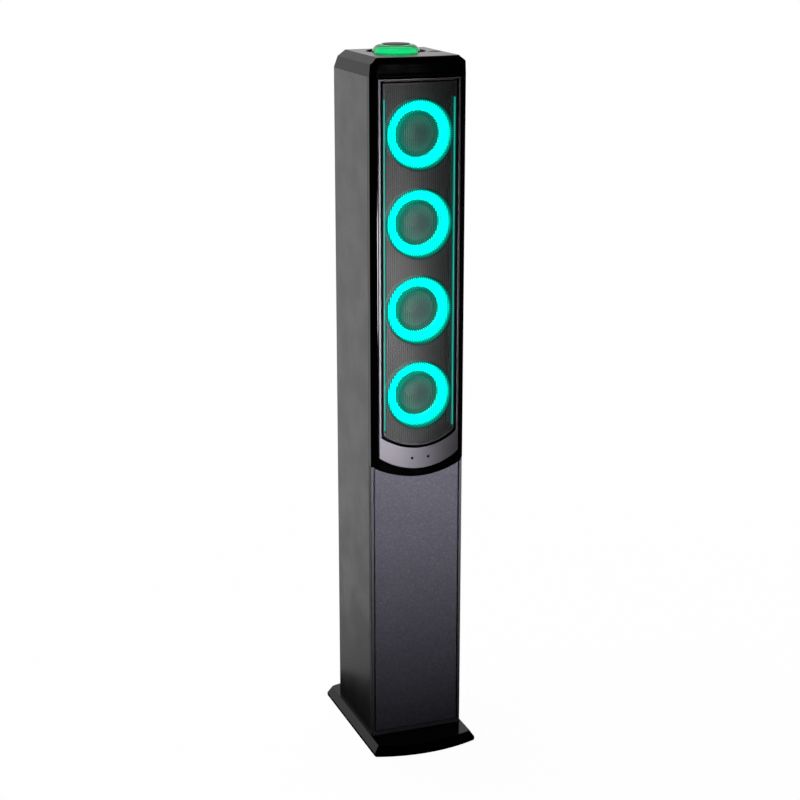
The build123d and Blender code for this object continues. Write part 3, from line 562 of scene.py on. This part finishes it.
def make_chin_lenses(look):
    """Two dark lenses, each covering its hole in the trim's chin."""
    chin_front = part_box("trim_frame")[0].y + 0.2 * MM
    for name, side in (("chin_lens_left", -1), ("chin_lens_right", 1)):
        verts, faces = [], []
        for radius, depth in LENS_ROWS:
            verts += [(side * CHIN_HOLE_X + radius * MM * math.cos(2 * math.pi * i / LENS_SIDES),
                       chin_front + depth * MM,
                       CHIN_HOLE_Z + radius * MM * math.sin(2 * math.pi * i / LENS_SIDES))
                      for i in range(LENS_SIDES)]
        for row in range(len(LENS_ROWS) - 1):
            for i in range(LENS_SIDES):
                j = (i + 1) % LENS_SIDES
                a, b = row * LENS_SIDES, (row + 1) * LENS_SIDES
                faces.append((a + j, a + i, b + i, b + j))
        mesh_piece(name, verts, faces, look)


# ---------------------------------------------------------------- stage, lights and camera
FLOOR_R = 2.6
CARD_R = 0.23
BACKDROP_R = 25
ROOM_STRENGTH, WALL_STRENGTH = 0.005, 0.66
CAMERA_PLACE = (-0.8526, -2.2677, 1.1985)
CAMERA_DOWN, CAMERA_RIGHT = 16.164, 20.644      # degrees, from level and from straight back
CAMERA_LENS, CAMERA_SENSOR = 79.66, 36.0


def disc_mesh(name, radius, z, rings=1, sides=96):
    """A flat disc of rings of faces."""
    verts = [(0, 0, z)]
    faces = []
    for ring in range(1, rings + 1):
        for i in range(sides):
            angle = 2 * math.pi * i / sides
            verts.append((radius * ring / rings * math.cos(angle),
                          radius * ring / rings * math.sin(angle), z))
    for i in range(sides):
        j = (i + 1) % sides
        faces.append((0, 1 + i, 1 + j))
        for ring in range(rings - 1):
            base = 1 + ring * sides
            faces.append((base + i, base + sides + i, base + sides + j, base + j))
    mesh = bpy.data.meshes.new(name)
    mesh.from_pydata(verts, [], faces)
    made = bpy.data.objects.new(name, mesh)
    bpy.context.scene.collection.objects.link(made)
    return made


def make_stage():
    floor = disc_mesh("pale_floor", FLOOR_R, -0.0002, 6)
    look = Look("pale_floor", (0.8, 0.8, 0.8), 0.9)
    radius = look.add("VectorMath", {0: look.position()}, operation="LENGTH").outputs["Value"]
    away = look.span(radius, 0.3, FLOOR_R * 0.8)
    look.set("Base Color", look.blend(away, (0.12, 0.12, 0.12), (0.0, 0.0, 0.0)))
    look.set("Specular IOR Level", 0.0)
    look.set("Emission Color", look.blend(away, (0.97, 0.97, 0.97), (1.0, 1.0, 1.0)))
    look.set("Emission Strength", 1.0)
    floor.data.materials.append(look.material)

    bpy.ops.mesh.primitive_uv_sphere_add(segments=48, ring_count=24, radius=BACKDROP_R)
    dome = bpy.context.object
    dome.name = "white_backdrop"
    white = Look("white_backdrop", (0, 0, 0), 1.0)
    white.set("Specular IOR Level", 0.0)
    white.set("Emission Color", (1, 1, 1, 1))
    white.set("Emission Strength", 1.0)
    dome.data.materials.append(white.material)
    for shown in (floor, dome):
        shown.visible_diffuse = False
        shown.visible_glossy = False
        shown.visible_shadow = False

    card = disc_mesh("dark_card", CARD_R, -0.0004)
    card.data.materials.append(Look("dark_card", (0.01, 0.01, 0.01), 1.0).material)
    card.visible_camera = False


def make_world():
    """A bright studio wall behind the object, and a dark room in front of it."""
    world = bpy.data.worlds.new("studio")
    bpy.context.scene.world = world
    world.use_nodes = True
    tree = world.node_tree
    background = tree.nodes["Background"]
    direction = tree.nodes.new("ShaderNodeTexCoord").outputs["Generated"]
    parts = tree.nodes.new("ShaderNodeSeparateXYZ")
    tree.links.new(direction, parts.inputs[0])

    def span(value, low, high, to_low, to_high):
        made = tree.nodes.new("ShaderNodeMapRange")
        made.interpolation_type = "SMOOTHSTEP"
        tree.links.new(value, made.inputs["Value"])
        for key, number in (("From Min", low), ("From Max", high), ("To Min", to_low),
                            ("To Max", to_high)):
            made.inputs[key].default_value = number
        return made.outputs[0]

    def product(a, b):
        made = tree.nodes.new("ShaderNodeMath")
        made.operation = "MULTIPLY"
        tree.links.new(a, made.inputs[0])
        tree.links.new(b, made.inputs[1])
        return made.outputs[0]

    behind = span(parts.outputs[1], 0.5, 0.78, ROOM_STRENGTH, WALL_STRENGTH)
    low_down = span(parts.outputs[2], -0.44, -0.37, 0.0, 1.0)
    high_up = span(parts.outputs[2], 0.5, 0.9, 1.0, 0.3)
    strength = product(product(behind, low_down), high_up)
    tree.links.new(strength, background.inputs["Strength"])
    background.inputs["Color"].default_value = (1.0, 0.985, 0.99, 1.0)


def softbox(name, place, aim, width, height, power, colour=(1, 1, 1), spread=180):
    """A rectangular studio light aimed at a point."""
    light = bpy.data.lights.new(name, "AREA")
    light.shape = "RECTANGLE"
    light.size, light.size_y = width, height
    light.energy = power
    light.color = colour
    light.spread = math.radians(spread)
    made = bpy.data.objects.new(name, light)
    bpy.context.scene.collection.objects.link(made)
    made.location = place
    made.rotation_euler = (Vector(aim) - Vector(place)).to_track_quat("-Z", "Y").to_euler()
    return made


def make_lights():
    # One low, wide key light, made of three boxes so that each can be aimed at the object.
    for name, x in (("key_left", -0.4), ("key_middle", 0.1), ("key_right", 0.6)):
        softbox(name, (x, -2.8, 0.12), (0, 0, 0.61), 0.45, 0.35, 0.42, (1.0, 0.985, 1.0), 22)
    overhead = softbox("overhead", (-0.3, 0.2, 2.6), (0, 0, 0.5), 1.2, 1.2, 10)
    overhead.visible_glossy = False


def make_camera():
    data = bpy.data.cameras.new("camera")
    data.lens = CAMERA_LENS
    data.sensor_width = CAMERA_SENSOR
    camera = bpy.data.objects.new("camera", data)
    bpy.context.scene.collection.objects.link(camera)
    camera.location = CAMERA_PLACE
    camera.rotation_euler = (math.radians(90 - CAMERA_DOWN), 0, math.radians(-CAMERA_RIGHT))
    bpy.context.scene.camera = camera


looks = dress_cad_nodes()
make_grille(looks["grille_black"])
make_chin_lenses(smoked_lens())
make_stage()
make_world()
make_lights()
make_camera()
bpy.context.scene.view_settings.view_transform = "Standard"
